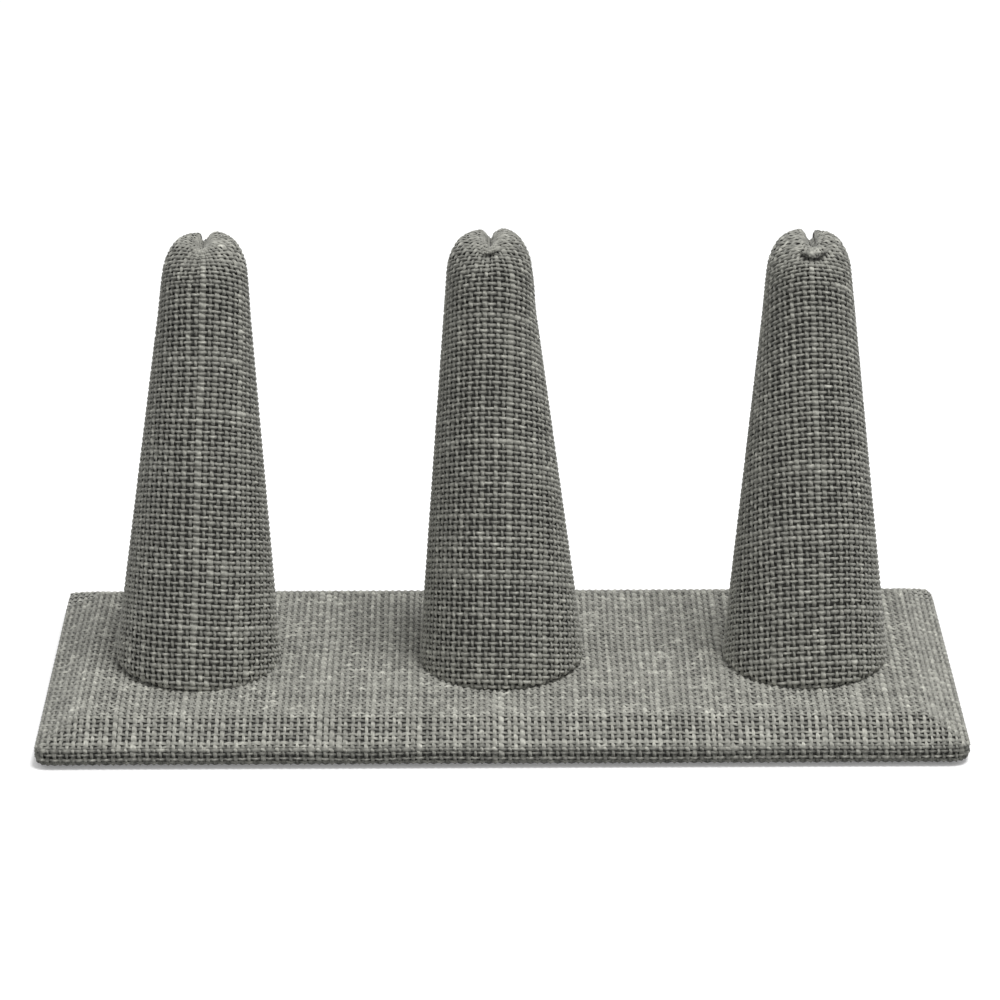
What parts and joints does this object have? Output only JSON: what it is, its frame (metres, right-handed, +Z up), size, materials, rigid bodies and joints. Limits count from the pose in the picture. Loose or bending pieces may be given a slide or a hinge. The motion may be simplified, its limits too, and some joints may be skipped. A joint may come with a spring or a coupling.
{
  "type": "ring display stand",
  "caption": "Low bevelled board with tapered, upright fingers in a row, all wrapped in grey linen; each finger's notched tip and taper hold finger rings for display.",
  "frame": {"origin": "middle of the underside, on the surface that the stand rests on", "axes": "+X along the board to the right, +Y across it to the back, +Z up"},
  "size_m": [0.1524, 0.0636, 0.0817],
  "materials": {
    "linen": "open plain-weave slub linen, warm grey, matt",
    "felt": "short-napped black felt, matt",
    "board_wood": "fibreboard stained dark grey, as the gaps in the linen show",
    "core_wood": "turned softwood stained dark grey, as the gaps in the linen show",
    "screw_steel": "zinc-plated steel"
  },
  "bodies": {
    "root": {"base_board": "board_wood", "base_cover": "linen", "underside_felt": "felt", "finger_core_left": "core_wood", "finger_core_middle": "core_wood", "finger_core_right": "core_wood", "finger_cover_left": "linen", "finger_cover_middle": "linen", "finger_cover_right": "linen", "finger_screws": "screw_steel"}
  },
  "joints": []
}
